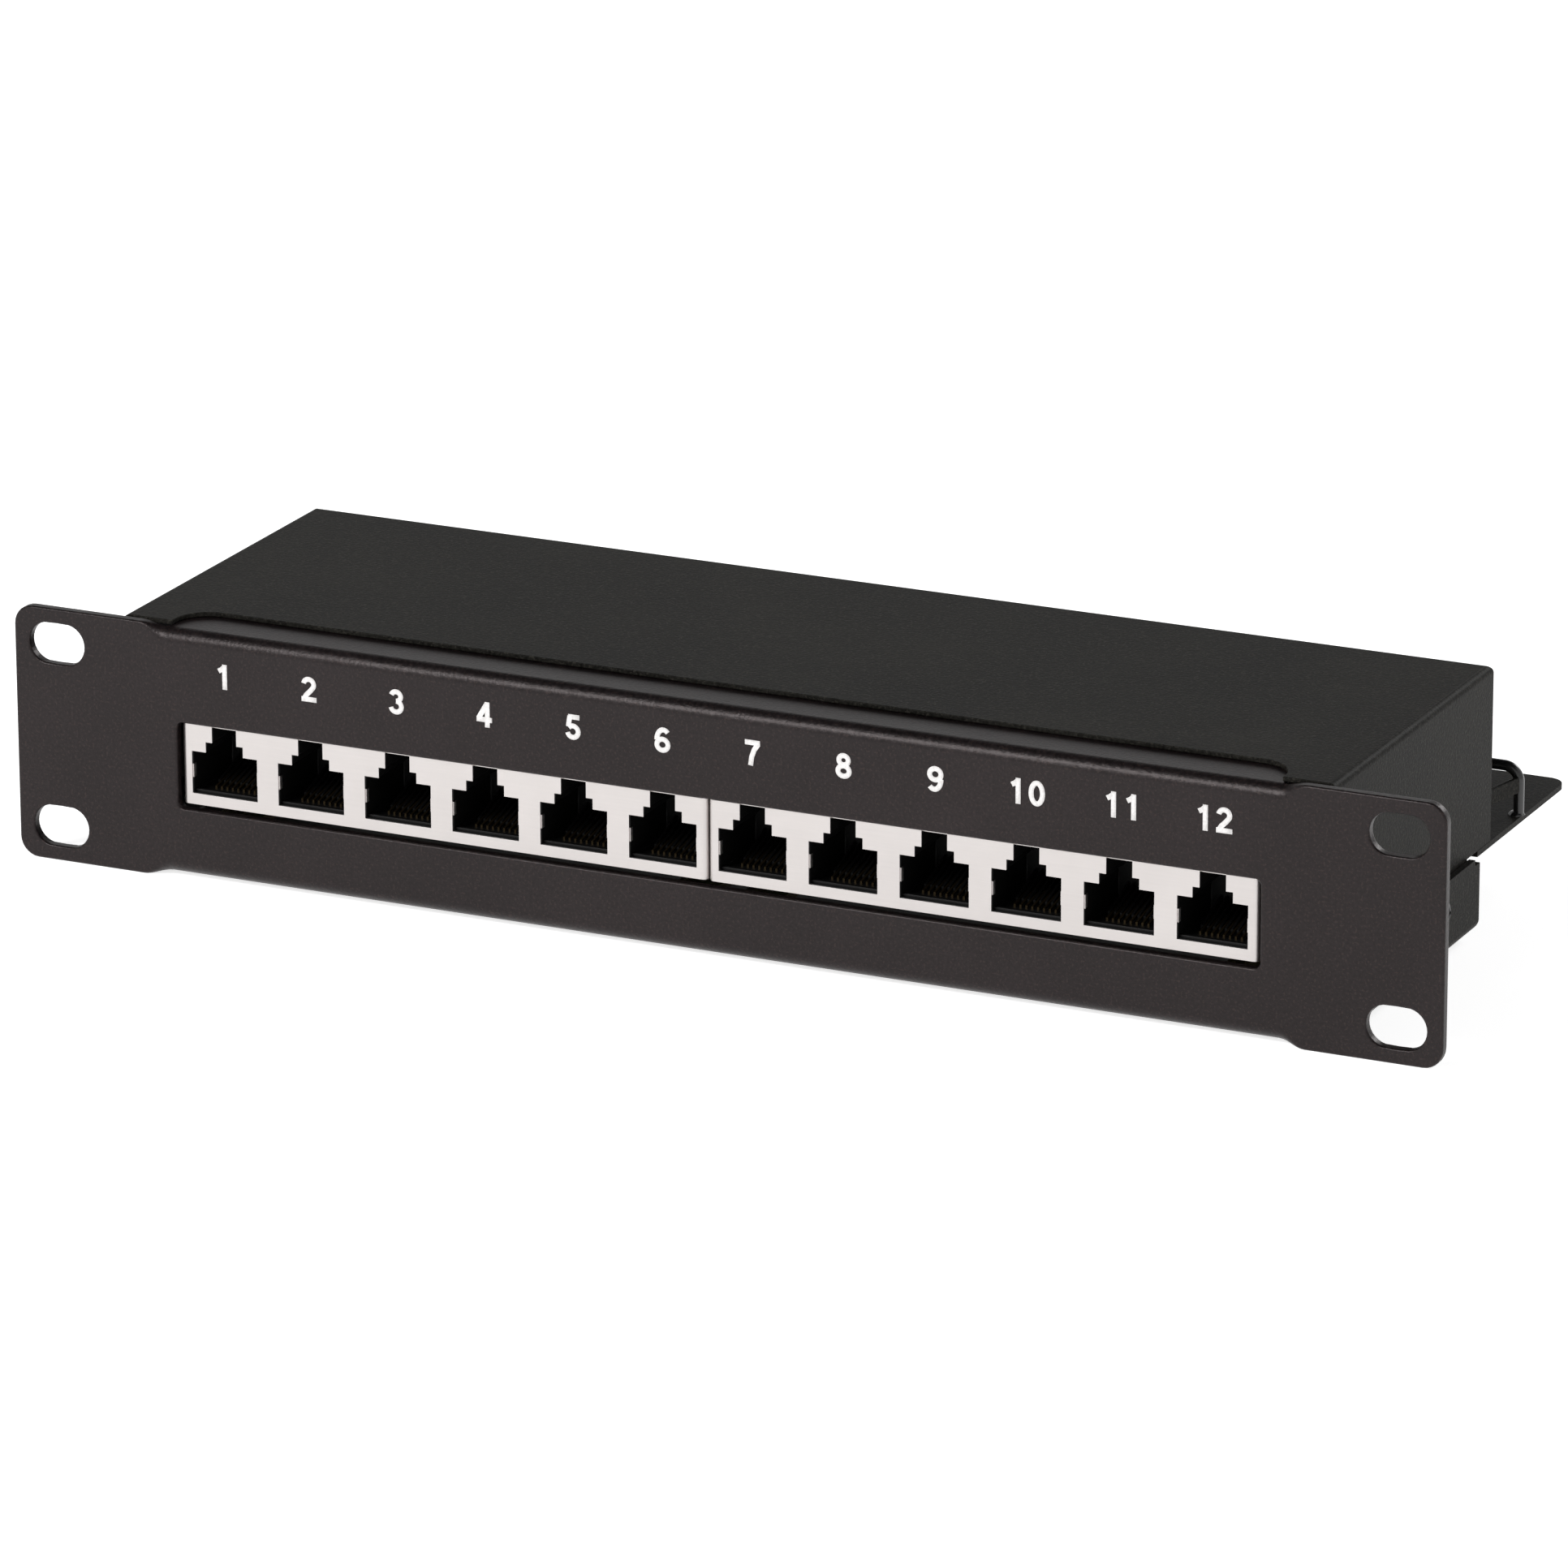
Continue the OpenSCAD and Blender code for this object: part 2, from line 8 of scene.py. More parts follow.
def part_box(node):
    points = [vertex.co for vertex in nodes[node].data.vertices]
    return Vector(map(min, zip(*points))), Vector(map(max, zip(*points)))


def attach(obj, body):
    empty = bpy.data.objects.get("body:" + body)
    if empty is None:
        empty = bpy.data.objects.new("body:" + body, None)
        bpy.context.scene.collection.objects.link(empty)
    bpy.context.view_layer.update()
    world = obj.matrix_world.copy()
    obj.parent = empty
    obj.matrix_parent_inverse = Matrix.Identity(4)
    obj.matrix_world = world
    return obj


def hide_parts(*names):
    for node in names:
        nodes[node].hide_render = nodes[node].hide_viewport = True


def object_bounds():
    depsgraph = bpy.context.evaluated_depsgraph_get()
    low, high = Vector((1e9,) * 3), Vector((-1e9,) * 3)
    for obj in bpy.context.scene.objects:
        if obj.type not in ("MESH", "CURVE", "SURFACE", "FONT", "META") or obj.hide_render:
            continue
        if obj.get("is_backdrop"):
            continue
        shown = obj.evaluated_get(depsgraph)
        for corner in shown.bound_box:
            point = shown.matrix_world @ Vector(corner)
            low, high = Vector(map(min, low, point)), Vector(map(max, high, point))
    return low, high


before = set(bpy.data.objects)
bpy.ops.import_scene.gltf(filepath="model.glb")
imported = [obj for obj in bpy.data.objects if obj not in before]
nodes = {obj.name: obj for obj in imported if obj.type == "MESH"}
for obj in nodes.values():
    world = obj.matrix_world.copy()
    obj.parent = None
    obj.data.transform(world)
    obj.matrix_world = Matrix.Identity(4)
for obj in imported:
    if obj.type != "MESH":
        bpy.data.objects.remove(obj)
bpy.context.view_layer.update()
mm = 0.001
tiny, near = 0.001 * mm, 0.01 * mm  # for comparing places


def letGo():
    if bpy.context.object and bpy.context.object.mode != "OBJECT":
        bpy.ops.object.mode_set(mode="OBJECT")
    bpy.ops.object.select_all(action="DESELECT")


def hold(piece):
    letGo()
    piece.select_set(True)
    bpy.context.view_layer.objects.active = piece
    return piece


def settle(piece):  # its place goes into the mesh, and the object back to the origin
    hold(piece)
    bpy.ops.object.transform_apply(location=True, rotation=True, scale=True)
    return piece


def named(name):
    piece = bpy.context.object
    piece.name = piece.data.name = name
    return piece


def box(name, low, high):
    letGo()
    middle = [(a + b) / 2 for a, b in zip(low, high)]
    bpy.ops.mesh.primitive_cube_add(size=1, location=middle)
    piece = named(name)
    piece.scale = [b - a for a, b in zip(low, high)]
    return settle(piece)


def rod(name, start, end, radius, sides=32):
    letGo()
    start, end = Vector(start), Vector(end)
    turn = (end - start).to_track_quat("Z", "Y").to_euler()
    bpy.ops.mesh.primitive_cylinder_add(vertices=sides, radius=radius, depth=(end - start).length,
                                        location=(start + end) / 2, rotation=turn)
    return settle(named(name))


def choose(piece, kind, test):  # into edit mode, with what the test picks selected
    hold(piece)
    bpy.ops.object.mode_set(mode="EDIT")
    bpy.ops.mesh.select_mode(type=kind)
    bpy.ops.mesh.select_all(action="DESELECT")
    shape = bmesh.from_edit_mesh(piece.data)
    shape.normal_update()
    if kind == "FACE":
        for face in shape.faces:
            face.select_set(test(face.calc_center_median(), face.normal))
    elif kind == "EDGE":
        for edge in shape.edges:
            edge.select_set(test(edge.verts[0].co, edge.verts[1].co))
    else:
        for vert in shape.verts:
            vert.select_set(test(vert.co))
    shape.select_flush_mode()
    bmesh.update_edit_mesh(piece.data)


def bevelChosen(width, segments):
    bpy.ops.mesh.bevel(offset=width, segments=segments, affect="EDGES", clamp_overlap=True)


def pull(step):
    bpy.ops.mesh.extrude_region_move(TRANSFORM_OT_translate={"value": step})


def sliceAt(piece, points, normal):  # new edge loops where the planes cross the mesh
    for point in points:
        choose(piece, "FACE", lambda middle, facing: True)
        bpy.ops.mesh.bisect(plane_co=point, plane_no=normal)
    letGo()


def modify(piece, kind, **values):
    hold(piece)
    modifier = piece.modifiers.new(kind.title(), kind)
    for key, value in values.items():
        setattr(modifier, key, value)
    bpy.ops.object.modifier_apply(modifier=modifier.name)
    return piece


def cutOut(piece, *tools, operation="DIFFERENCE"):
    for tool in tools:
        modify(piece, "BOOLEAN", object=tool, operation=operation, solver="EXACT")
        bpy.data.objects.remove(tool)
    return piece


def weldTo(piece, *others):
    return cutOut(piece, *others, operation="UNION")


def gather(name, pieces):  # several meshes in one object
    hold(pieces[0])
    for piece in pieces:
        piece.select_set(True)
    bpy.ops.object.join()
    return named(name)


def copied(piece, name, shift=(0, 0, 0)):
    twin = piece.copy()
    twin.data = piece.data.copy()
    twin.name = twin.data.name = name
    bpy.context.scene.collection.objects.link(twin)
    twin.data.transform(Matrix.Translation(shift))
    return twin


def tidyMesh(piece, outwards=True, flat=False):
    hold(piece)
    bpy.ops.object.mode_set(mode="EDIT")
    bpy.ops.mesh.select_all(action="SELECT")
    bpy.ops.mesh.remove_doubles(threshold=0.002 * mm)
    if flat:  # one face for each flat stretch
        bpy.ops.mesh.dissolve_limited(angle_limit=math.radians(0.4))
    if outwards:
        bpy.ops.mesh.normals_make_consistent(inside=False)
    letGo()
    return piece


def dropSlivers(piece):  # faces without area, left by bevels and cuts
    hold(piece)
    bpy.ops.object.mode_set(mode="EDIT")
    bpy.ops.mesh.select_all(action="SELECT")
    bpy.ops.mesh.dissolve_degenerate(threshold=0.001 * mm)
    letGo()


def smoothOver(piece, angle=50):
    hold(piece)
    bpy.ops.object.shade_smooth_by_angle(angle=math.radians(angle))
    return modify(piece, "WEIGHTED_NORMAL", mode="FACE_AREA", weight=80, keep_sharp=True)


def roundEdges(piece, width, segments=2, angle=35):
    modify(piece, "BEVEL", width=width, segments=segments, limit_method="ANGLE",
           angle_limit=math.radians(angle), use_clamp_overlap=True, miter_outer="MITER_ARC")
    return smoothOver(piece)


def copyOfNode(node, name):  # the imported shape, its triangles merged back into whole faces
    piece = bpy.data.objects.new(name, nodes[node].data.copy())
    bpy.context.scene.collection.objects.link(piece)
    piece.data.name = name
    hold(piece)
    bpy.ops.mesh.customdata_custom_splitnormals_clear()
    return tidyMesh(piece, outwards=False, flat=True)


def finishPiece(piece, material, slotName, body, *replacedNodes):
    piece.data.materials.clear()
    piece.data.materials.append(material)
    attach(piece, body)
    if replacedNodes:
        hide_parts(*replacedNodes)
    return piece


class Value:  # a socket that takes part in sums
    def __init__(self, shader, socket):
        self.shader, self.socket = shader, socket

    def maths(self, operation, other, swapped=False):
        pair = [other, self] if swapped else [self, other]
        return self.shader.add("ShaderNodeMath", {"operation": operation}, pair)

    def __add__(self, other):
        return self.maths("ADD", other)

    def __radd__(self, other):
        return self.maths("ADD", other, True)

    def __sub__(self, other):
        return self.maths("SUBTRACT", other)

    def __rsub__(self, other):
        return self.maths("SUBTRACT", other, True)

    def __mul__(self, other):
        return self.maths("MULTIPLY", other)

    def __rmul__(self, other):
        return self.maths("MULTIPLY", other, True)

    def __gt__(self, other):
        return self.maths("GREATER_THAN", other)


class Shader:
    def __init__(self, name, **constants):
        self.material = bpy.data.materials.new(name)
        self.material.use_nodes = True
        self.tree = self.material.node_tree
        self.surface = self.tree.nodes["Principled BSDF"]
        for key, value in constants.items():
            self.surface.inputs[key.replace("_", " ")].default_value = value
        self.place = self.add("ShaderNodeTexCoord", output="Object")

    def add(self, kind, settings=None, inputs=(), output=0):
        node = self.tree.nodes.new(kind)
        for key, value in (settings or {}).items():
            if key == "stops":
                ramp = node.color_ramp.elements
                while len(ramp) < len(value):
                    ramp.new(1)
                for element, (position, colour) in zip(ramp, value):
                    element.position, element.color = position, (*colour, 1)
            else:
                setattr(node, key, value)
        pairs = inputs.items() if isinstance(inputs, dict) else enumerate(inputs)
        for key, value in pairs:
            if isinstance(value, Value):
                self.tree.links.new(value.socket, node.inputs[key])
            else:
                node.inputs[key].default_value = value
        return Value(self, node.outputs[output])

    def noise(self, scale, detail=3, roughness=0.5, place=None):
        sockets = {"Vector": place or self.place, "Scale": scale, "Detail": detail, "Roughness": roughness}
        return self.add("ShaderNodeTexNoise", None, sockets)

    def stretched(self, scale):
        return self.add("ShaderNodeMapping", None, {"Vector": self.place, "Scale": scale})

    def ramp(self, factor, *stops):
        return self.add("ShaderNodeValToRGB", {"stops": stops}, [factor])

    def blend(self, factor, first, second):
        first, second = [c if isinstance(c, Value) else (*c, 1) for c in (first, second)]
        node = {"data_type": "RGBA"}
        return self.add("ShaderNodeMix", node, {0: factor, 6: first, 7: second}, output=2)

    def bump(self, height, strength, distance):
        sockets = {"Height": height, "Strength": strength, "Distance": distance}
        return self.add("ShaderNodeBump", None, sockets)

    def finish(self, **inputs):
        for key, value in inputs.items():
            self.tree.links.new(value.socket, self.surface.inputs[key.replace("_", " ")])
        return self.material


def shade(colour, amount):
    return tuple(min(1, c * amount) for c in colour)


def powderCoat(name, colour, speck, rough, shine, tint=(1, 1, 1, 1), grain=1800):
    coat = Shader(name, Specular_IOR_Level=shine, Specular_Tint=tint)
    pebbles = coat.noise(grain, 2, 0.45)
    fine = coat.noise(grain * 2.6, 2)
    clouds = coat.noise(38, 4, 0.6)
    dust = coat.noise(grain * 1.3, 1) > 0.62
    tone = coat.ramp(pebbles * 0.6 + clouds * 0.4, (0.32, shade(colour, 0.4)), (0.5, colour),
                     (0.68, shade(colour, 1.9)))
    spotted = coat.blend(dust * 0.5, tone, speck)
    relief = coat.bump(pebbles + fine * 0.35, 0.58, 0.09 * mm)
    return coat.finish(Base_Color=spotted, Normal=relief,
                       Roughness=rough - 0.06 + pebbles * 0.12 + clouds * 0.06)


def glossPaint(name, colour):
    coat = Shader(name, Specular_IOR_Level=0.5, Coat_Roughness=0.12)
    runs = coat.noise(260, 3)
    dips = coat.noise(1400, 2)
    tone = coat.ramp(runs, (0.3, shade(colour, 0.7)), (0.7, shade(colour, 1.5)))
    return coat.finish(Base_Color=tone, Roughness=0.22 + runs * 0.14, Coat_Weight=0.25 + dips * 0.2,
                       Normal=coat.bump(runs + dips * 0.25, 0.2, 0.08 * mm))


def satinMetal(name, colour, rough, grain=(60, 60, 2400), metal=1.0, dull=0.8):
    plate = Shader(name, Metallic=metal)
    brushed = plate.noise(1, 3, 0.6, plate.stretched(grain))
    clouds = plate.noise(70, 4, 0.6)
    pits = plate.noise(2600, 2)
    tone = plate.ramp(clouds * 0.6 + brushed * 0.4, (0.25, shade(colour, dull)), (0.7, colour))
    return plate.finish(Base_Color=tone, Roughness=rough + brushed * 0.12 + clouds * 0.08,
                        Normal=plate.bump(brushed + pits * 0.3, 0.12, 0.03 * mm))


def moulded(name, colour, rough, grain=1500, strength=0.12, specular=0.5):
    plastic = Shader(name, Specular_IOR_Level=specular)
    skin = plastic.noise(grain, 3)
    flow = plastic.noise(90, 3, 0.6)
    tone = plastic.ramp(flow, (0.3, shade(colour, 0.85)), (0.7, shade(colour, 1.12)))
    return plastic.finish(Base_Color=tone, Roughness=rough + skin * 0.12 + flow * 0.06,
                          Normal=plastic.bump(skin, strength, 0.05 * mm))


def circuitBoard(name):
    mask = Shader(name, Specular_IOR_Level=0.5, Coat_Roughness=0.08)
    weave = mask.add("ShaderNodeTexBrick", {"offset": 0.5},
                     {"Vector": mask.place, "Scale": 420.0, "Mortar Size": 0.03})
    rows = mask.add("ShaderNodeTexWave", {"bands_direction": "X"},
                    {"Vector": mask.place, "Scale": 190.0, "Distortion": 1.6, "Detail": 1.0}) > 0.82
    patch = mask.noise(160, 1) > 0.47
    tracks = rows * patch
    base = mask.ramp(mask.noise(60, 3), (0.3, (0.008, 0.062, 0.028)), (0.7, (0.014, 0.095, 0.042)))
    tone = mask.blend(tracks, base, (0.03, 0.19, 0.085))
    height = tracks + mask.add("ShaderNodeRGBToBW", None, [weave]) * 0.2
    return mask.finish(Base_Color=tone, Roughness=0.32 - tracks * 0.06,
                       Normal=mask.bump(height, 0.25, 0.04 * mm))


def printedInk(name):
    ink = Shader(name, Specular_IOR_Level=0.35)
    cover = ink.noise(2600, 3)
    tone = ink.ramp(cover, (0.25, (0.62, 0.605, 0.59)), (0.6, (0.78, 0.76, 0.75)))
    return ink.finish(Base_Color=tone, Roughness=0.5 + cover * 0.15,
                      Normal=ink.bump(cover, 0.2, 0.03 * mm))


def markColour(name, colour):  # with a little wear
    paint = Shader(name, Specular_IOR_Level=0.4)
    wear = paint.noise(1200, 3)
    tone = paint.ramp(wear, (0.3, shade(colour, 0.8)), (0.62, colour), (0.8, shade(colour, 1.25)))
    return paint.finish(Base_Color=tone, Roughness=0.45 + wear * 0.15,
                        Normal=paint.bump(wear, 0.15, 0.03 * mm))


panelPaint = powderCoat("panelPaint", (0.0062, 0.0044, 0.0046), (0.028, 0.018, 0.016),
                        rough=0.34, shine=0.29, tint=(1, 0.9, 0.9, 1))
shellPaint = powderCoat("shellPaint", (0.0118, 0.0112, 0.0096), (0.040, 0.037, 0.031),
                        rough=0.42, shine=0.035)
barPaint = glossPaint("barPaint", (0.006, 0.006, 0.006))
nickel = satinMetal("nickel", (0.62, 0.585, 0.57), 0.30, dull=0.88)
socketPlastic = moulded("socketPlastic", (0.0032, 0.0030, 0.0030), 0.36, specular=0.25)
# gold flash on the contacts, its colour darkened far below gold's: painted shade of the sockets' dark insides
goldInPaintedShade = satinMetal("goldInPaintedShade", (0.1, 0.072, 0.038), 0.34, (2400, 60, 60))
blockPlastic = moulded("blockPlastic", (0.74, 0.72, 0.655), 0.42)
tinBlade = satinMetal("tinBlade", (0.80, 0.79, 0.77), 0.26, (60, 2400, 60))
zincPlate = satinMetal("zincPlate", (0.68, 0.69, 0.69), 0.28, (800, 800, 800), dull=0.7)
blackZinc = satinMetal("blackZinc", (0.035, 0.035, 0.037), 0.34, (900, 900, 900))
brassNickel = satinMetal("brassNickel", (0.74, 0.66, 0.44), 0.26, (60, 2400, 60))
solder = satinMetal("solder", (0.74, 0.74, 0.73), 0.2, (500, 500, 500))
boardMask = circuitBoard("boardMask")
whiteInk = printedInk("whiteInk")
print("materials made")


frontSheet = {
    "inkDepth": 0.03 * mm,     # the paint's face lies this far behind the numerals' faces
    "thickness": 2 * mm,
    "bentHalfWidth": 99 * mm,
    "bentHeight": 21.2 * mm,   # outer face of the bent flanges
    "bendRadius": 2.4 * mm,
    "bendSteps": 10,
    "flangeDepth": {1: 16 * mm, -1: 8 * mm},
    "earRadius": 3.4 * mm,
    "easeWidth": 4.6 * mm,     # over which the ears' edges drop to the flanges
    "easeSteps": 8,
    "slotCentres": (119.1 * mm, 15.875 * mm),
    "slotSize": (10.2 * mm, 7 * mm),
    "window": ((-96.95 * mm, -9.6 * mm), (95.95 * mm, 5.3 * mm)),
    "windowRadius": 1.2 * mm,
    "cornerSteps": 7,
    "windowSteps": 8,
    "punch": (-1 * mm, 4 * mm),  # from where to where the cutting tools reach
    "edge": 0.42 * mm,
    "edgeSteps": 4,
    "easeReach": 1.05,         # how much of the edge's rounding is moved into the bend
    "easeStretch": 2.6,        # how far that rounding is drawn back
    "easeBack": 1.5 * mm,      # behind this depth nothing is raised
}


def ease(x, sheet):  # 0 where the bent stretch starts, 1 where an ear has its full height
    reach = min(1, max(0, (abs(x) - sheet["bentHalfWidth"]) / sheet["easeWidth"]))
    return reach * reach * (3 - 2 * reach)


def obroundTool(name, x, z, sheet):
    length, width = sheet["slotSize"]
    half = (length - width) / 2
    front, back = sheet["punch"]
    tool = rod(name, (0, front, 0), (0, back, 0), width / 2)
    for side in (-1, 1):  # the two halves of the round tool are drawn apart
        choose(tool, "VERT", lambda co: co.x * side > tiny)
        bpy.ops.transform.translate(value=(side * half, 0, 0))
        letGo()
    tool.data.transform(Matrix.Translation((x, 0, z)))
    return tool


def edgeTurn(edge):
    return edge.calc_face_angle(0) if len(edge.link_faces) == 2 else 0


def roundSheet(piece, sheet):  # the punched edges, but not the joints between an ear and the bent stretch
    shape = bmesh.new()
    shape.from_mesh(piece.data)
    layer = shape.edges.layers.float.new("bevel_weight_edge")
    half, bend = sheet["bentHalfWidth"], sheet["bendRadius"]
    for edge in shape.edges:
        a, b = (v.co for v in edge.verts)
        atEnd = abs(abs(a.x) - half) < near and abs(abs(b.x) - half) < near
        atJoint = atEnd and a.y + b.y < 2 * bend
        edge[layer] = float(edgeTurn(edge) > math.radians(35) and not atJoint)
    shape.to_mesh(piece.data)
    shape.free()
    return modify(piece, "BEVEL", width=sheet["edge"], segments=sheet["edgeSteps"], limit_method="WEIGHT",
                  use_clamp_overlap=False)


def easeIntoBend(ear, sheet):  # the small rounding of an ear's edge grows into the bend's
    front, edge = sheet["inkDepth"], sheet["edge"]
    largest = sheet["bendRadius"] - front
    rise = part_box("front_panel")[1].z - sheet["bentHeight"]
    for vert in ear.data.vertices:
        share = 1 - ease(vert.co.x, sheet)
        top = sheet["bentHeight"] + rise * (1 - share)
        below, deep = top - abs(vert.co.z), vert.co.y - front
        if share == 0 or below > edge * sheet["easeReach"]:
            continue
        radius = edge + (largest - edge) * share
        if deep < edge * sheet["easeReach"]:
            deep *= 1 + sheet["easeStretch"] * share
        arch = top - radius + math.sqrt(radius ** 2 - min(radius, max(0, radius - deep)) ** 2)
        height = min(abs(vert.co.z), arch) if deep > sheet["easeBack"] else arch
        vert.co.y, vert.co.z = front + deep, math.copysign(height, vert.co.z)
    return ear


def makeBentWeb(sheet):
    half, front, back = sheet["bentHalfWidth"], sheet["inkDepth"], sheet["thickness"]
    radius = sheet["bendRadius"]
    webHalf = sheet["bentHeight"] - radius
    letGo()
    bpy.ops.mesh.primitive_plane_add(size=1, location=(-half, (front + back) / 2, 0),
                                     rotation=(0, math.pi / 2, 0))
    web = named("frontPanel")  # the sheet's end, which is drawn out to its whole width below
    web.scale = (2 * webHalf, back - front, 1)
    settle(web)
    for side in (1, -1):
        choose(web, "EDGE", lambda a, b: min(a.z * side, b.z * side) > webHalf - tiny)
        bpy.ops.mesh.spin(steps=sheet["bendSteps"], angle=math.radians(90),
                          center=(-half, radius, side * webHalf), axis=(side, 0, 0))
        letGo()
        choose(web, "EDGE", lambda a, b: min(a.y, b.y) > radius - near
               and min(a.z * side, b.z * side) > webHalf)
        pull((0, sheet["flangeDepth"][side] - radius, 0))
        letGo()
    choose(web, "FACE", lambda middle, facing: True)
    bpy.ops.mesh.remove_doubles(threshold=0.002 * mm)
    pull((2 * half, 0, 0))
    letGo()
    return tidyMesh(web)


def makeEar(side, sheet):
    low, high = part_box("front_panel")
    half = sheet["bentHalfWidth"]
    left, right = sorted((side * half, side * high.x))
    ear = box("ear", (left, sheet["inkDepth"], low.z), (right, sheet["thickness"], high.z))
    steps = [half + sheet["easeWidth"] * n / sheet["easeSteps"] for n in range(1, sheet["easeSteps"] + 1)]
    sliceAt(ear, [(side * x, 0, 0) for x in steps], (1, 0, 0))
    drop = high.z - sheet["bentHeight"]
    for vert in ear.data.vertices:
        vert.co.z -= math.copysign(drop * (1 - ease(vert.co.x, sheet)), vert.co.z)
    choose(ear, "EDGE", lambda a, b: min(abs(a.x), abs(b.x)) > high.x - near
           and abs(a.z - b.z) < tiny and abs(a.y - b.y) > 10 * near)
    bevelChosen(sheet["earRadius"], sheet["cornerSteps"])
    letGo()
    slotX, slotZ = sheet["slotCentres"]
    sliceAt(ear, [(side * slotX, 0, 0)], (1, 0, 0))  # so the cut faces have no holes
    cutOut(ear, *[obroundTool("slot", side * slotX, z * slotZ, sheet) for z in (-1, 1)])
    return tidyMesh(ear, outwards=False)


def makeFrontPanel(sheet):
    web = makeBentWeb(sheet)
    (left, bottom), (right, top) = sheet["window"]
    front, back = sheet["punch"]
    window = box("window", (left, front, bottom), (right, back, top))
    choose(window, "EDGE", lambda a, b: abs(a.y - b.y) > 1 * mm)
    bevelChosen(sheet["windowRadius"], sheet["windowSteps"])
    letGo()
    sliceAt(web, [(0, 0, 0)], (1, 0, 0))
    cutOut(web, window)
    tidyMesh(web, outwards=False)
    ears = [easeIntoBend(roundSheet(makeEar(side, sheet), sheet), sheet) for side in (-1, 1)]
    shells = [roundSheet(web, sheet), *ears]
    panel = smoothOver(gather("frontPanel", shells))
    return finishPiece(panel, panelPaint, "panel_black", "chassis", "front_panel")


makeFrontPanel(frontSheet)
print("front panel made")


numerals = {
    "height": 4.3 * mm,
    "stroke": 0.2,             # this and the next two are shares of the height
    "width": 0.66,
    "gap": 0.14,
    "firstX": -88.1 * mm,
    "pitch": 16.02 * mm,
    "middleZ": 14.3 * mm,
    "depth": 0.06 * mm,
    "lift": 0.004 * mm,
}


def arc(x, y, wide, tall, start, end, steps=18):
    turns = [math.radians(start + (end - start) * n / steps) for n in range(steps + 1)]
    return [(x + wide * math.cos(t), y + tall * math.sin(t)) for t in turns]


def ring(x, y, wide, tall):
    return arc(x, y, wide, tall, 0, 360, 32)


six = [ring(0.33, 0.315, 0.23, 0.215), arc(0.37, 0.5, 0.27, 0.4, 182, 48)]
strokes = {  # middle lines of the digits, one unit tall
    "0": [ring(0.33, 0.5, 0.23, 0.4)],
    "1": [[(0.38, 0), (0.38, 1)], [(0.36, 0.89), (0.25, 0.79), (0.12, 0.72)]],
    "2": [arc(0.325, 0.69, 0.215, 0.21, 172, -28) + [(0.4, 0.45), (0.2, 0.25), (0.12, 0.1)],
          [(0.01, 0.1), (0.65, 0.1)]],
    "3": [arc(0.31, 0.715, 0.2, 0.185, 165, -90), arc(0.31, 0.315, 0.225, 0.215, 90, -168)],
    "4": [[(0.46, 0), (0.46, 1)], [(0.43, 0.91), (0.09, 0.33)], [(0.01, 0.3), (0.66, 0.3)]],
    "5": [[(0.13, 0.9), (0.6, 0.9)], [(0.2, 0.93), (0.13, 0.5)], arc(0.32, 0.325, 0.225, 0.225, 140, -168)],
    "6": six,
    "7": [[(0.02, 0.9), (0.64, 0.9)], [(0.57, 0.87), (0.4, 0.62), (0.3, 0.35), (0.25, 0)]],
    "8": [ring(0.33, 0.72, 0.19, 0.18), ring(0.33, 0.3, 0.23, 0.2)],
    "9": [[(0.66 - x, 1 - y) for x, y in line] for line in six],
}


def strokeProfile(values):
    letGo()
    profile = bpy.data.curves.new("strokeProfile", "CURVE")
    line = profile.splines.new("POLY")
    half, depth = values["stroke"] / 2, values["depth"] / values["height"] / 2
    line.points.add(3)
    for point, (x, y) in zip(line.points, ((-half, -depth), (half, -depth), (half, depth), (-half, depth))):
        point.co = (x, y, 0, 1)
    line.use_cyclic_u = True
    holder = bpy.data.objects.new("strokeProfile", profile)
    bpy.context.scene.collection.objects.link(holder)
    return holder


def makeStroke(points, profile):
    curve = bpy.data.curves.new("stroke", "CURVE")
    curve.dimensions, curve.twist_mode = "3D", "Z_UP"
    curve.bevel_mode, curve.bevel_object, curve.use_fill_caps = "OBJECT", profile, True
    line = curve.splines.new("POLY")
    closed = math.dist(points[0], points[-1]) < 1e-4
    path = points[:-1] if closed else points
    line.points.add(len(path) - 1)
    for point, (x, y) in zip(line.points, path):
        point.co = (x, y, 0, 1)
    line.use_cyclic_u = closed
    stroke = bpy.data.objects.new("stroke", curve)
    bpy.context.scene.collection.objects.link(stroke)
    hold(stroke)
    bpy.ops.object.convert(target="MESH")
    return tidyMesh(bpy.context.object)


def makeNumeral(number, values, profile):
    digits = []
    for place, digit in enumerate(str(number)):
        parts = [makeStroke(line, profile) for line in strokes[digit]]
        digit = weldTo(parts[0], *parts[1:])
        digit.data.transform(Matrix.Translation((place * (values["width"] + values["gap"]), 0, 0)))
        digits.append(digit)
    piece = gather(f"numeral{number}", digits)
    corners = [v.co.x for v in piece.data.vertices]
    middle = (min(corners) + max(corners)) / 2
    scale = values["height"]
    x = values["firstX"] + (number - 1) * values["pitch"]
    for vert in piece.data.vertices:  # stood up on the panel's face
        flat = vert.co.copy()
        deep = values["lift"] + values["depth"] / 2 - flat.z * scale
        vert.co = (x + (flat.x - middle) * scale, deep, values["middleZ"] + (flat.y - 0.5) * scale)
    tidyMesh(piece)
    dropSlivers(piece)
    return finishPiece(piece, whiteInk, None, "chassis")


profile = strokeProfile(numerals)
for number in range(1, 13):
    makeNumeral(number, numerals, profile)
bpy.data.objects.remove(profile)
print("numerals made")


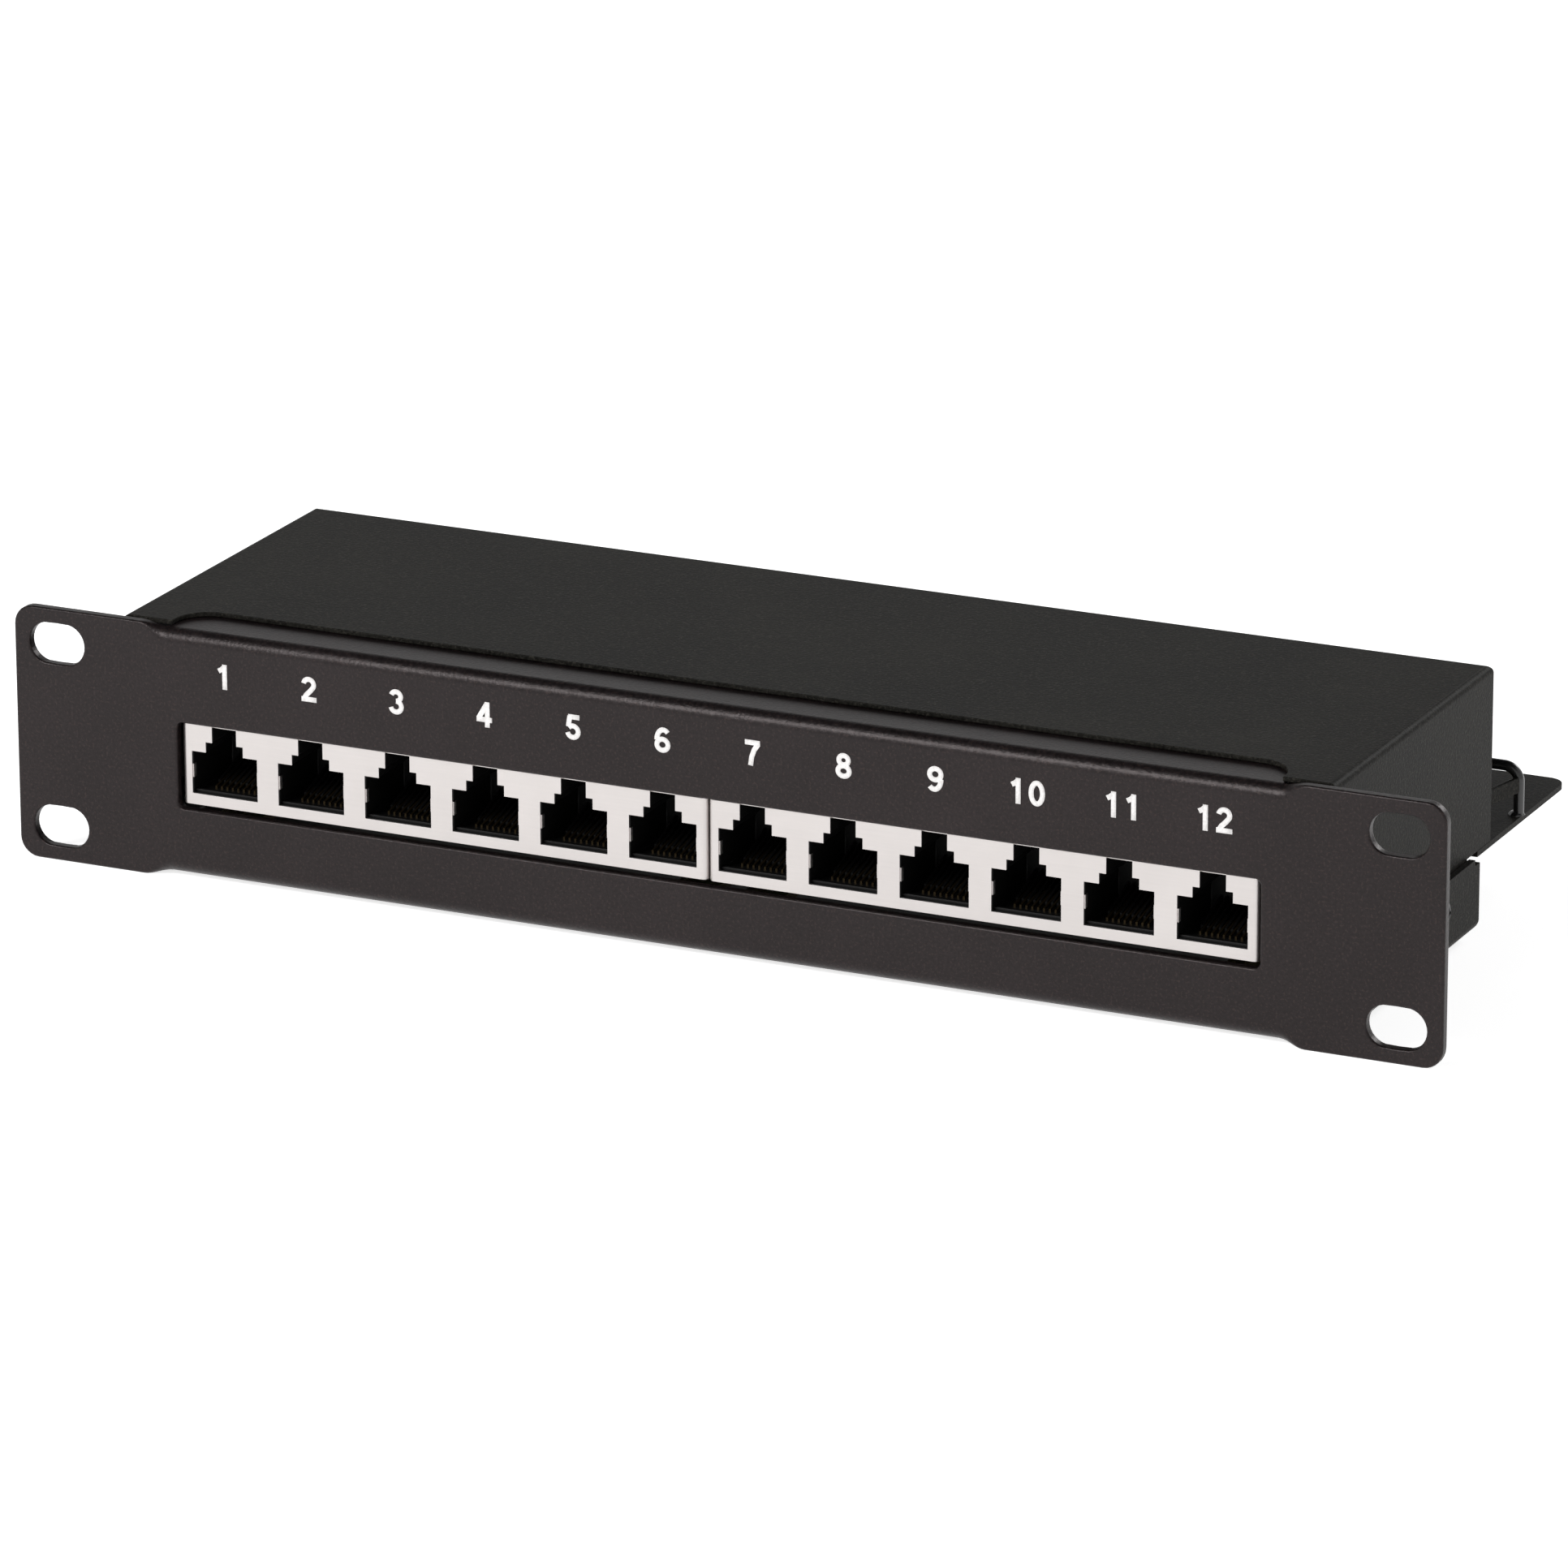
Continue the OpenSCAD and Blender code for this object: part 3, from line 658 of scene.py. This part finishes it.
opening = {  # the stepped outline, measured from a socket's middle
    "plugHalf": 6.05 * mm,
    "plugZ": (-6.8 * mm, 0.5 * mm),
    "stepHalf": 3.45 * mm,
    "stepTop": 2.3 * mm,
    "latchHalf": 2.25 * mm,
    "shieldLatchTop": 5.3 * mm,  # the shields are notched right through their top edge
    "socketLatchTop": 4.3 * mm,
    "depth": 13.4 * mm,
    "past": 1 * mm,            # how far the tool sticks out in front
}
rowX, pitch = -0.45 * mm, 16 * mm


def socketX(n):
    return rowX + (n - 5.5) * pitch


def openingTool(name, front, back, latchTop):  # the stepped outline of an eight-way socket, as a solid
    bottom, top = opening["plugZ"]
    tool = box(name, (-opening["plugHalf"], front, bottom), (opening["plugHalf"], back, top))
    for half, level in ((opening["stepHalf"], opening["stepTop"]), (opening["latchHalf"], latchTop)):
        sliceAt(tool, [(-half, 0, 0), (half, 0, 0)], (1, 0, 0))
        choose(tool, "FACE", lambda middle, facing: facing.z > 0.9 and abs(middle.x) < half - tiny
               and middle.z > top - tiny)
        pull((0, 0, level - top))
        letGo()
        top = level
    return tool


shields = {
    "sheet": 0.3 * mm,
    "cornerRadius": 1.05 * mm,
    "cornerSteps": 6,
    "cutBehind": 0.25 * mm,    # how far the cut goes past the sheet
    "edge": 0.07 * mm,
    "tab": (0.2 * mm, 0.9 * mm, 2.3 * mm),
    "tabBottom": -4.1 * mm,
    "tabBow": 0.09 * mm,
    "tabBack": 0.24 * mm,
    "tabSink": 0.02 * mm,
    "tabSteps": 6,
    "tabEnd": 1.15,            # above 1, so the bow is over before the tip
}


def gripTab(side, values):  # a leaf that bows into the opening and bends back
    width, depth, height = values["tab"]
    low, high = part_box("shield_left")
    start = low.y + values["tabBack"]
    wall = side * (opening["plugHalf"] + values["tabSink"])
    left, right = sorted((wall, wall - side * width))
    tab = box("tab", (left, start, values["tabBottom"]), (right, start + depth, values["tabBottom"] + height))
    steps = values["tabSteps"]
    sliceAt(tab, [(0, start + depth * n / steps, 0) for n in range(1, steps)], (0, 1, 0))
    for vert in tab.data.vertices:
        along = (vert.co.y - start) / depth
        vert.co.x -= side * values["tabBow"] * math.sin(math.pi * min(1, along * values["tabEnd"]))
    return tab


def makeShield(side, name, node, values):
    low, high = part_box(node)
    shell = box(name, low, high)
    choose(shell, "FACE", lambda middle, facing: facing.y > 0.9)
    bpy.ops.mesh.delete(type="FACE")
    letGo()
    choose(shell, "EDGE", lambda a, b: max(a.y, b.y) < low.y + tiny and abs(a.z - b.z) > 1 * mm)
    bevelChosen(values["cornerRadius"], values["cornerSteps"])
    letGo()
    modify(shell, "SOLIDIFY", thickness=values["sheet"], offset=-1, use_even_offset=True)
    places = range(6) if side < 0 else range(6, 12)
    back = low.y + values["sheet"] + values["cutBehind"]
    master = openingTool("opening", low.y - opening["past"], back, opening["shieldLatchTop"])
    tools = [copied(master, "opening", (socketX(n), 0, 0)) for n in places]
    bpy.data.objects.remove(master)
    cutOut(shell, gather("openings", tools))
    tidyMesh(shell, outwards=False, flat=True)
    modify(shell, "BEVEL", width=values["edge"], segments=2, limit_method="ANGLE",
           angle_limit=math.radians(50))
    tabs = []
    for handed in (-1, 1):
        tab = gripTab(handed, values)
        tabs += [copied(tab, "tab", (socketX(n), 0, 0)) for n in places]
        bpy.data.objects.remove(tab)
    shell = gather(name, [shell, *tabs])
    smoothOver(shell, 40)
    return finishPiece(shell, nickel, "nickel", "chassis", node)


makeShield(-1, "shieldLeft", "shield_left", shields)
makeShield(1, "shieldRight", "shield_right", shields)
print("shields made")

sockets = {
    "lead": 0.3 * mm,          # chamfer round the mouth
    "lipDepth": (1.9 * mm, 2.7 * mm),
    "lipHeight": 0.45 * mm,
    "lipRound": 0.2 * mm,
    "footing": 0.3 * mm,       # how deep the lip and the ribs stand in the floor
    "wallGap": 0.05 * mm,
    "roofDepth": 6 * mm,
    "ribs": 9,
    "ribPitch": 1.02 * mm,
    "ribThickness": 0.42 * mm,
    "ribEdge": 0.08 * mm,
    "ribY": (6.4 * mm, 14.2 * mm),
    "ribTop": (-5.9 * mm, -3.4 * mm),
}


def makeSocket(values):
    low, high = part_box("socket_1")
    middle = Vector((socketX(0), 0, 0))
    low, high = low - middle, high - middle
    shell = box("socket", low, high)
    front = low.y - opening["past"]
    cutOut(shell, openingTool("hollow", front, low.y + opening["depth"], opening["socketLatchTop"]))
    roof = box("roof", (-opening["latchHalf"], front, opening["stepTop"]),
               (opening["latchHalf"], low.y + values["roofDepth"], high.z + opening["past"]))
    cutOut(shell, roof)
    tidyMesh(shell, outwards=False, flat=True)
    modify(shell, "BEVEL", width=values["lead"], segments=1, limit_method="ANGLE",
           angle_limit=math.radians(35))
    floor = opening["plugZ"][0]
    foot = floor - values["footing"]
    half = opening["plugHalf"] - values["wallGap"]
    lipFront, lipBack = values["lipDepth"]
    lip = box("lip", (-half, lipFront, foot), (half, lipBack, floor + values["lipHeight"]))
    choose(lip, "EDGE", lambda a, b: min(a.z, b.z) > floor and abs(a.x - b.x) > 1 * mm)
    bevelChosen(values["lipRound"], 2)
    letGo()
    inner = [lip]
    (ribFront, ribBack), (frontTop, backTop) = values["ribY"], values["ribTop"]
    for n in range(values["ribs"]):
        x = (n - (values["ribs"] - 1) / 2) * values["ribPitch"]
        rib = box("rib", (x - values["ribThickness"] / 2, ribFront, foot),
                  (x + values["ribThickness"] / 2, ribBack, frontTop))
        choose(rib, "EDGE", lambda a, b: min(a.z, b.z) > floor and min(a.y, b.y) > ribBack - tiny)
        bpy.ops.transform.translate(value=(0, 0, backTop - frontTop))
        letGo()
        choose(rib, "EDGE", lambda a, b: min(a.z, b.z) > floor and abs(a.y - b.y) > 1 * mm)
        bevelChosen(values["ribEdge"], 1)
        letGo()
        inner.append(rib)
    shell = gather("socket", [shell, *inner])
    dropSlivers(shell)
    smoothOver(shell, 40)
    return shell


masterSocket = makeSocket(sockets)
for n in range(12):
    piece = copied(masterSocket, f"socketBody{n + 1}", (socketX(n), 0, 0))
    finishPiece(piece, socketPlastic, "socket_plastic", "chassis", f"socket_{n + 1}")
bpy.data.objects.remove(masterSocket)
# the contacts take the darkened gold, which is painted shade of the sockets' insides
for node in ("contacts_left", "contacts_right"):
    nodes[node].data.materials.clear()
    nodes[node].data.materials.append(goldInPaintedShade)
print("sockets made")


coverBends = {"radius": 1.4 * mm, "steps": 5}  # the lid's folds, along its sides and its back
sheetEdges = {  # node: (piece, rounding, body)
    "top_cover": ("liftCover", 0.16 * mm, "cover"),
    "lower_shell": ("lowerShell", 0.22 * mm, "chassis"),
    "cable_tray": ("cableTray", 0.22 * mm, "chassis"),
    "bar_brackets": ("barBrackets", 0.2 * mm, "chassis"),
}


def foldLid(lid, values):
    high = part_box("top_cover")[1]
    choose(lid, "EDGE", lambda a, b: min(a.z, b.z) > high.z - near and (
        min(abs(a.x), abs(b.x)) > high.x - near or min(a.y, b.y) > high.y - near))
    bevelChosen(values["radius"], values["steps"])
    letGo()


for node, (name, width, body) in sheetEdges.items():
    piece = copyOfNode(node, name)
    if node == "top_cover":
        foldLid(piece, coverBends)
    finishPiece(roundEdges(piece, width), shellPaint, "shell_black", body, node)
print("housing made")


barFeet = {
    "barRadius": 0.9 * mm,
    "radius": 1.5 * mm,
    "height": 0.75 * mm,
    "inset": 0.35 * mm,
    "sink": 0.05 * mm,
    "ripples": 9,
    "rippleHeight": 0.07,      # as a share of the radius
    "narrow": 0.9,
}


def weldBead(x, y, z, values):  # a low bead where a leg meets the tray
    letGo()
    bpy.ops.mesh.primitive_uv_sphere_add(segments=28, ring_count=14, radius=values["radius"],
                                         location=(x, y, z))
    bead = settle(named("bead"))
    for vert in bead.data.vertices:
        turn = math.atan2(vert.co.y - y, vert.co.x - x)
        ripple = 1 + values["rippleHeight"] * math.sin(values["ripples"] * turn)
        vert.co.x = x + (vert.co.x - x) * ripple * values["narrow"]
        vert.co.y = y + (vert.co.y - y) * ripple
        vert.co.z = z + (vert.co.z - z) * values["height"] / values["radius"]
    choose(bead, "FACE", lambda middle, facing: True)
    bpy.ops.mesh.bisect(plane_co=(0, 0, z - values["sink"]), plane_no=(0, 0, 1), use_fill=True,
                        clear_inner=True)
    letGo()
    return bead


barLow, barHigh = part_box("lacing_bar")
beadX = barHigh.x - barFeet["barRadius"] - barFeet["inset"]
legY = (barLow.y + barHigh.y) / 2
beads = gather("barWelds", [weldBead(side * beadX, legY, barLow.z, barFeet) for side in (-1, 1)])
smoothOver(beads, 60)
finishPiece(beads, barPaint, "bar_black", "chassis")
bar = copyOfNode("lacing_bar", "lacingBar")
smoothOver(bar, 40)
finishPiece(bar, barPaint, "bar_black", "chassis", "lacing_bar")
print("lacing bar made")


blocks = {
    "edge": 0.14 * mm,
    "rowZ": 5.4 * mm,
    "towerHeight": 7.4 * mm,
    "towerDepth": 7 * mm,
    "wirePitch": 3.85 * mm,
    "slotWidth": 1 * mm,
    "pointed": 1.5 * mm,       # length of the towers' pointed tips
    "tipWidth": 0.9 * mm,
    "tipHeight": 0.72,         # as a share of the tower's height
    "trayInset": 0.5 * mm,     # the shallow tray round the towers' feet
    "trayDepth": 0.25 * mm,
    "footing": 0.6 * mm,       # how deep the towers stand in the block
    "markZ": 0.82 * mm,        # from the middle of the block
    "markSink": 0.25 * mm,
    "markDepth": 0.12 * mm,
    "markEdge": 0.06 * mm,
    "plainMark": (2.6 * mm, 1.3 * mm),
    "stripe": (0.9 * mm, 1.2 * mm),
    "stripeLift": 0.03 * mm,
}
wireColours = {
    "markWhite": (0.82, 0.81, 0.78),
    "markBlue": (0.03, 0.11, 0.42),
    "markOrange": (0.72, 0.2, 0.02),
    "markGreen": (0.02, 0.28, 0.07),
    "markBrown": (0.17, 0.07, 0.025),
}
markPaints = {name: markColour(name, colour) for name, colour in wireColours.items()}
markOrder = ["markBlue", "markOrange", "markGreen", "markBrown"]


def makeBlock(values):
    low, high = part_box("punch_block_1")
    middle = Vector(((low.x + high.x) / 2, 0, (low.z + high.z) / 2))
    low, high = low - middle, high - middle
    shelf = high.y - values["towerDepth"]
    block = box("block", low, (high.x, shelf, high.z))
    choose(block, "FACE", lambda centre, facing: facing.y > 0.9)
    bpy.ops.mesh.inset(thickness=values["trayInset"], depth=0)
    pull((0, -values["trayDepth"], 0))
    letGo()
    slotSides = [(i - 3.5) * values["wirePitch"] + side * values["slotWidth"] / 2
                 for i in range(8) for side in (-1, 1)]
    edges = [low.x, *slotSides, high.x]
    towers = []
    for left, right in zip(edges[::2], edges[1::2]):
        for row in (-1, 1):
            z = row * values["rowZ"]
            tower = box("tower", (left, shelf - values["footing"], z - values["towerHeight"] / 2),
                        (right, high.y - values["pointed"], z + values["towerHeight"] / 2))
            choose(tower, "FACE", lambda centre, facing: facing.y > 0.9)
            pull((0, values["pointed"], 0))
            outer = left < low.x + tiny or right > high.x - tiny
            width = 1 if outer else values["tipWidth"] / (right - left)
            bpy.ops.transform.resize(value=(width, 1, values["tipHeight"]))
            letGo()
            towers.append(tower)
    towers = gather("towers", towers)
    for part, angle in ((towers, 20), (block, 35)):
        modify(part, "BEVEL", width=values["edge"], segments=2, limit_method="ANGLE",
               angle_limit=math.radians(angle))
    block = gather("block", [block, towers])
    dropSlivers(block)
    smoothOver(block, 40)
    return block, middle.z, shelf


def makeMark(x, y, z, size, values):  # a small moulded wedge in the wire's colour
    width, height = size
    mark = box("mark", (x - width / 2, y - values["markSink"], z - height / 2),
               (x + width / 2, y + values["markDepth"], z + height / 2))
    choose(mark, "EDGE", lambda a, b: min(a.y, b.y) > y)
    bevelChosen(values["markEdge"], 1)
    letGo()
    return mark


masterBlock, blockZ, shelfY = makeBlock(blocks)
blockMiddles = [rowX + (n - 2.5) * 2 * pitch for n in range(6)]
for n, x in enumerate(blockMiddles):
    piece = copied(masterBlock, f"punchBlock{n + 1}", (x, 0, blockZ))
    finishPiece(piece, blockPlastic, "block_plastic", "chassis", f"punch_block_{n + 1}")
bpy.data.objects.remove(masterBlock)
marks = {name: [] for name in wireColours}
markY = shelfY - blocks["trayDepth"]
for middle in blockMiddles:
    for i in range(8):
        x = middle + (i - 3.5) * blocks["wirePitch"]
        for row in (-1, 1):
            z = blockZ + row * blocks["markZ"]
            marks[markOrder[i // 2]].append(makeMark(x, markY, z, blocks["plainMark"], blocks))
            if i % 2 == 0:  # the striped wire of the pair
                y = markY + blocks["stripeLift"]
                marks["markWhite"].append(makeMark(x, y, z, blocks["stripe"], blocks))
for name, made in marks.items():
    finishPiece(gather(name + "s", made), markPaints[name], None, "chassis")
for node in ("punch_blades_left", "punch_blades_right"):
    nodes[node].data.materials.clear()
    nodes[node].data.materials.append(tinBlade)
print("punch-down blocks made")


boards = {"board_left": "boardLeft", "board_right": "boardRight"}
boardEdge = 0.12 * mm
for node, name in boards.items():
    finishPiece(roundEdges(copyOfNode(node, name), boardEdge), boardMask, "board_green", "chassis", node)

joints = {  # of solder, two staggered rows for each socket
    "radius": 0.62 * mm,
    "tip": 0.3,                # as a share of the radius
    "height": 0.55 * mm,
    "dish": (0.05 * mm, 0.12 * mm),
    "pitch": 1.27 * mm,
    "rows": (-12.1 * mm, 10.2 * mm),
}


def makeSolderJoint(values):
    letGo()
    bpy.ops.mesh.primitive_cone_add(vertices=10, radius1=values["radius"],
                                    radius2=values["radius"] * values["tip"],
                                    depth=values["height"], rotation=(-math.pi / 2, 0, 0))
    joint = settle(named("solderJoint"))
    choose(joint, "FACE", lambda middle, facing: facing.y > 0.9)
    thickness, depth = values["dish"]
    bpy.ops.mesh.inset(thickness=thickness, depth=depth)
    letGo()
    return joint


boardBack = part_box("board_left")[1].y
masterJoint = makeSolderJoint(joints)
dots = []
for n in range(12):
    for i in range(8):
        stagger = joints["rows"][i % 2] if n % 2 else joints["rows"][(i + 1) % 2]
        x = socketX(n) + (i - 3.5) * joints["pitch"]
        dots.append(copied(masterJoint, "dot", (x, boardBack + joints["height"] / 2, stagger)))
bpy.data.objects.remove(masterJoint)
solderJoints = gather("solderJoints", dots)
smoothOver(solderJoints, 40)
finishPiece(solderJoints, solder, "tin_blade", "chassis")

fasteners = {  # node: (piece, rounding, material, slot)
    "tray_screws": ("traySlotScrews", 0.1 * mm, blackZinc, "screw_black"),
    "cover_screws": ("coverScrews", 0.1 * mm, blackZinc, "screw_black"),
    "board_screws": ("boardScrews", 0.1 * mm, zincPlate, "zinc"),
    "bracket_rivets": ("bracketRivets", 0.08 * mm, zincPlate, "zinc"),
    "board_standoffs": ("boardStandoffs", 0.15 * mm, brassNickel, "brass_plated"),
}
for node, (name, width, material, slotName) in fasteners.items():
    finishPiece(roundEdges(copyOfNode(node, name), width), material, slotName, "chassis", node)

earthStud = {
    "collar": 2.4 * mm,
    "collarEdge": 0.25 * mm,
    "sink": 0.2 * mm,          # the shaft starts inside the collar
    "sides": 28,
    "pitch": 0.7 * mm,
    "root": 1.62 * mm,
    "crest": 1.99 * mm,
    "thread": ((0.42, "crest"), (0.16, "crest"), (0.42, "root")),  # shares of the pitch
    "point": 0.5 * mm,
    "taper": 0.8,
}


def topOf(piece):
    return max(v.co.z for v in piece.data.vertices)


def makeStud(values):
    low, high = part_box("ground_stud")
    x, y = (low.x + high.x) / 2, (low.y + high.y) / 2
    across = high.y - low.y
    letGo()
    bpy.ops.mesh.primitive_cylinder_add(vertices=6, radius=across / 2 / math.cos(math.pi / 6),
                                        depth=values["collar"], location=(x, y, low.z + values["collar"] / 2),
                                        rotation=(0, 0, math.pi / 6))
    collar = roundEdges(settle(named("earthStud")), values["collarEdge"])
    turns = int((high.z - low.z - values["collar"] - values["point"]) / values["pitch"])
    foot = low.z + values["collar"]
    shaft = rod("shaft", (x, y, foot - values["sink"]), (x, y, foot), values["root"], values["sides"])
    for step, ring in values["thread"] * turns:  # each ring is pulled up, then opened out or drawn in
        top = topOf(shaft)
        choose(shaft, "FACE", lambda middle, facing: facing.z > 0.9 and middle.z > top - tiny)
        pull((0, 0, values["pitch"] * step))
        for vert in bmesh.from_edit_mesh(shaft.data).verts:
            if vert.select:
                out = Vector((vert.co.x - x, vert.co.y - y, 0)).normalized() * values[ring]
                vert.co.x, vert.co.y = x + out.x, y + out.y
        letGo()
    top = topOf(shaft)
    choose(shaft, "FACE", lambda middle, facing: facing.z > 0.9 and middle.z > top - tiny)
    pull((0, 0, high.z - top))
    bpy.ops.transform.resize(value=(values["taper"], values["taper"], 1))
    letGo()
    stud = gather("earthStud", [collar, shaft])
    smoothOver(stud, 40)
    return finishPiece(stud, zincPlate, "zinc", "chassis", "ground_stud")


makeStud(earthStud)
print("boards, screws and stud made")


studio = {
    "floorHalf": 4,            # metres
    "floorTop": 0.02 * mm,     # below the part
    "floorBottom": 20 * mm,
    "floorGlow": 0.74,
    "horizon": (0.72, 0.72, 0.72),
    "overhead": (0.015, 0.015, 0.016),
    "fade": (0.42, 0.72),      # heights between which the horizon turns into the overhead
    "lights": [  # name, azimuth, elevation, distance, size, watts
        ("frontLight", -24, 38, 1.5, 0.52, 14),
        ("sideLight", 98, 42, 1.6, 0.6, 1),
        ("rimLight", 158, 26, 1.6, 0.5, 6),
    ],
}


def makeStudio(values):
    low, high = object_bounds()
    half = values["floorHalf"]
    floor = box("floor", (-half, -half, low.z - values["floorBottom"]),
                (half, half, low.z - values["floorTop"]))
    paper = Shader("paper", Roughness=0.9, Specular_IOR_Level=0.1, Emission_Color=(1, 1, 1, 1),
                   Emission_Strength=values["floorGlow"])
    tone = paper.ramp(paper.noise(6, 2), (0.3, (0.88, 0.88, 0.88)), (0.7, (0.92, 0.92, 0.92)))
    floor.data.materials.append(paper.finish(Base_Color=tone))
    floor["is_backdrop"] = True
    world = bpy.data.worlds.new("studioWorld")
    bpy.context.scene.world = world
    world.use_nodes = True
    tree = world.node_tree
    place = tree.nodes.new("ShaderNodeTexCoord")
    height = tree.nodes.new("ShaderNodeSeparateXYZ")
    ramp = tree.nodes.new("ShaderNodeValToRGB")
    stops = ramp.color_ramp.elements
    for stop, position, sky in zip(stops, values["fade"], ("horizon", "overhead")):
        stop.position, stop.color = position, (*values[sky], 1)
    tree.links.new(place.outputs["Generated"], height.inputs[0])
    tree.links.new(height.outputs["Z"], ramp.inputs[0])
    background = tree.nodes["Background"]
    tree.links.new(ramp.outputs[0], background.inputs["Color"])
    aim = (low + high) / 2
    for name, azimuth, elevation, distance, size, watts in values["lights"]:
        a, e = math.radians(azimuth), math.radians(elevation)
        back = Vector((math.sin(a) * math.cos(e), -math.cos(a) * math.cos(e), math.sin(e)))
        lamp = bpy.data.lights.new(name, "AREA")
        lamp.shape, lamp.size, lamp.energy = "SQUARE", size, watts
        holder = bpy.data.objects.new(name, lamp)
        holder.location = aim + back * distance
        holder.rotation_euler = back.to_track_quat("Z", "Y").to_euler()
        bpy.context.scene.collection.objects.link(holder)


makeStudio(studio)

cameraPlace = {  # degrees, metres and millimetres of lens
    "azimuth": 25.161,
    "elevation": 18.285,
    "roll": -0.174,
    "aim": (0.06423, -0.10787, 0.04921),
    "distance": 1.4481,
    "lens": 226.03,
    "sensor": 36,
    "clip": 0.05,
}


def makeCamera(values):
    a, e, r = (math.radians(values[key]) for key in ("azimuth", "elevation", "roll"))
    back = Vector((math.sin(a) * math.cos(e), -math.cos(a) * math.cos(e), math.sin(e)))
    right = Vector((math.cos(a), math.sin(a), 0))
    up = back.cross(right)
    across = math.cos(r) * right + math.sin(r) * up
    upright = math.cos(r) * up - math.sin(r) * right
    camera = bpy.data.cameras.new("camera")
    camera.lens, camera.sensor_width, camera.clip_start = values["lens"], values["sensor"], values["clip"]
    holder = bpy.data.objects.new("camera", camera)
    turn = Matrix((across, upright, back)).transposed().to_4x4()
    holder.matrix_world = Matrix.Translation(Vector(values["aim"]) + back * values["distance"]) @ turn
    bpy.context.scene.collection.objects.link(holder)
    bpy.context.scene.camera = holder


makeCamera(cameraPlace)
bpy.context.scene.view_settings.view_transform = "Standard"
print("studio and camera made")
